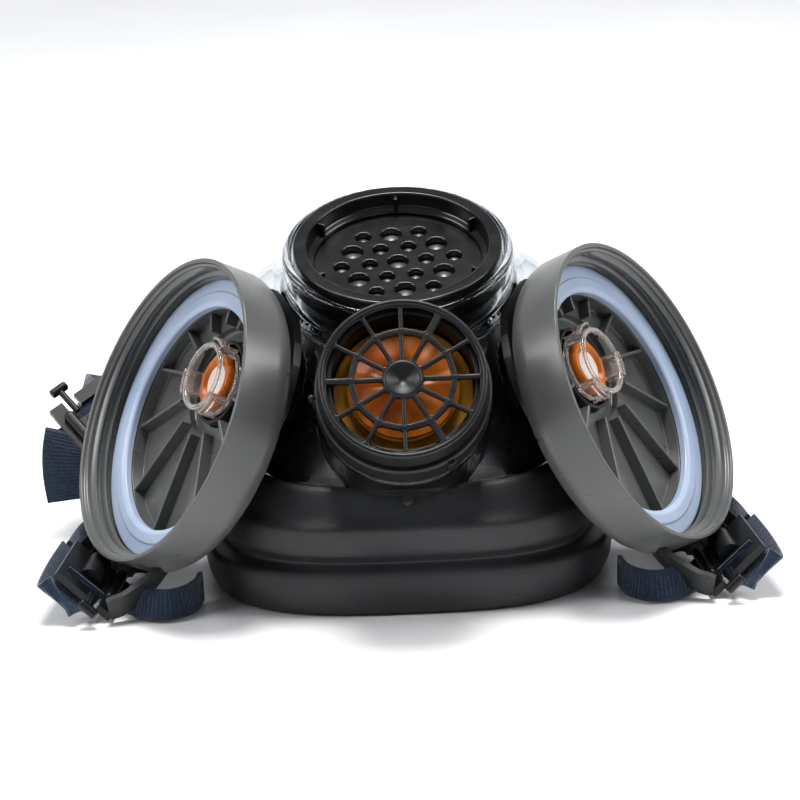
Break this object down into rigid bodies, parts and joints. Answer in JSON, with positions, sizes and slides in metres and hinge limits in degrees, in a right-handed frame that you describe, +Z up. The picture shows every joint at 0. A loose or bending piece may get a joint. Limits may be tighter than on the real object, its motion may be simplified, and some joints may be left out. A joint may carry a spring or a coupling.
{
  "type": "respirator",
  "caption": "Half-mask respirator with clear shell, screw-on filter receivers, exhalation valve, speech diaphragm, rubber face seal and strap harness.",
  "frame": {"origin": "on the table under the middle of the whole part's box, at the height of the face seal's rim", "axes": "+Z up out of the face seal towards the speech diaphragm, -Y towards the chin side and exhalation valve, +X across to one receiver"},
  "size_m": [0.2219, 0.1932, 0.1105],
  "materials": {
    "black_rubber": "satin black moulded rubber",
    "clear_shell": "clear glossy moulded polycarbonate",
    "black_plastic": "satin black moulded plastic",
    "grey_plastic": "mid grey satin gloss moulded plastic",
    "pale_silicone": "pale bluish white silicone",
    "orange_silicone": "glossy translucent orange silicone",
    "amber_plastic": "glossy amber plastic",
    "silver_film": "thin metallised film",
    "navy_webbing": "navy ribbed elastic webbing",
    "steel": "plain steel"
  },
  "bodies": {
    "root": {"face_seal": "black_rubber", "front_shell": "clear_shell", "diaphragm_grille": "black_plastic", "speech_diaphragm": "silver_film", "diaphragm_gasket": "black_rubber", "exhalation_housing": "black_plastic", "exhalation_valve_seat": "amber_plastic", "left_receiver": "grey_plastic", "left_filter_gasket": "pale_silicone", "left_inlet_duct": "black_plastic", "left_inhalation_cage": "clear_shell", "left_harness_yoke": "black_plastic", "left_lower_pivot_pin": "steel", "left_upper_pivot_pin": "steel", "left_neck_strap": "navy_webbing", "left_neck_strap_tail": "navy_webbing", "left_head_strap": "navy_webbing", "left_head_strap_tail": "navy_webbing", "right_receiver": "grey_plastic", "right_filter_gasket": "pale_silicone", "right_inlet_duct": "black_plastic", "right_inhalation_cage": "clear_shell", "right_harness_yoke": "black_plastic", "right_lower_pivot_pin": "steel", "right_upper_pivot_pin": "steel", "right_neck_strap": "navy_webbing", "right_neck_strap_tail": "navy_webbing", "right_head_strap": "navy_webbing", "right_head_strap_tail": "navy_webbing", "neck_clasp_socket": "black_plastic", "neck_clasp_tongue": "black_plastic", "head_cradle": "black_plastic"},
    "lock_ring": {"diaphragm_lock_ring": "black_plastic"},
    "exhalation_cover": {"exhalation_cover": "black_plastic"},
    "exhalation_disc": {"exhalation_valve_disc": "orange_silicone"},
    "left_inhalation_disc": {"left_inhalation_disc": "orange_silicone"},
    "right_inhalation_disc": {"right_inhalation_disc": "orange_silicone"},
    "left_lower_buckle": {"left_lower_buckle": "black_plastic", "left_lower_strap_loop": "navy_webbing"},
    "left_upper_buckle": {"left_upper_buckle": "black_plastic", "left_upper_strap_loop": "navy_webbing"},
    "right_lower_buckle": {"right_lower_buckle": "black_plastic", "right_lower_strap_loop": "navy_webbing"},
    "right_upper_buckle": {"right_upper_buckle": "black_plastic", "right_upper_strap_loop": "navy_webbing"}
  },
  "joints": [
    {"name": "lock_ring_turn", "type": "hinge", "parent": "root", "child": "lock_ring", "pos_m": [0.00405, -0.02133, 0.0988], "axis": [0, -0.381, 0.9246], "range_deg": [0, 30]},
    {"name": "exhalation_cover_twist", "type": "hinge", "parent": "root", "child": "exhalation_cover", "pos_m": [0.00405, -0.08313, 0.0742], "axis": [0, -0.813, 0.5823], "range_deg": [0, 20]},
    {"name": "exhalation_disc_lift", "type": "slide", "parent": "root", "child": "exhalation_disc", "axis": [0, -0.813, 0.5823], "range_m": [0, 0.002], "stiffness_N_per_m": 20},
    {"name": "left_inhalation_disc_lift", "type": "slide", "parent": "root", "child": "left_inhalation_disc", "axis": [0.7957, 0.4099, -0.4459], "range_m": [0, 0.0015], "stiffness_N_per_m": 20},
    {"name": "right_inhalation_disc_lift", "type": "slide", "parent": "root", "child": "right_inhalation_disc", "axis": [-0.7957, 0.4099, -0.4459], "range_m": [0, 0.0015], "stiffness_N_per_m": 20},
    {"name": "left_lower_buckle_tilt", "type": "hinge", "parent": "root", "child": "left_lower_buckle", "pos_m": [-0.08565, -0.02743, 0.0098], "axis": [0.7272, -0.0541, -0.6842], "range_deg": [0, 25], "deforming": ["left_neck_strap", "left_neck_strap_tail", "left_lower_strap_loop"]},
    {"name": "left_upper_buckle_tilt", "type": "hinge", "parent": "root", "child": "left_upper_buckle", "pos_m": [-0.07615, 0.00337, 0.0246], "axis": [-0.7755, -0.4664, -0.4256], "range_deg": [0, 25], "deforming": ["left_head_strap", "left_head_strap_tail", "left_upper_strap_loop"]},
    {"name": "right_lower_buckle_tilt", "type": "hinge", "parent": "root", "child": "right_lower_buckle", "pos_m": [0.09375, -0.02743, 0.0098], "axis": [0.7272, 0.0541, 0.6842], "range_deg": [0, 25], "deforming": ["right_neck_strap", "right_neck_strap_tail", "right_lower_strap_loop"]},
    {"name": "right_upper_buckle_tilt", "type": "hinge", "parent": "root", "child": "right_upper_buckle", "pos_m": [0.08425, 0.00337, 0.0246], "axis": [0.7755, -0.4664, -0.4256], "range_deg": [0, 25], "deforming": ["right_head_strap", "right_head_strap_tail", "right_upper_strap_loop"]}
  ]
}
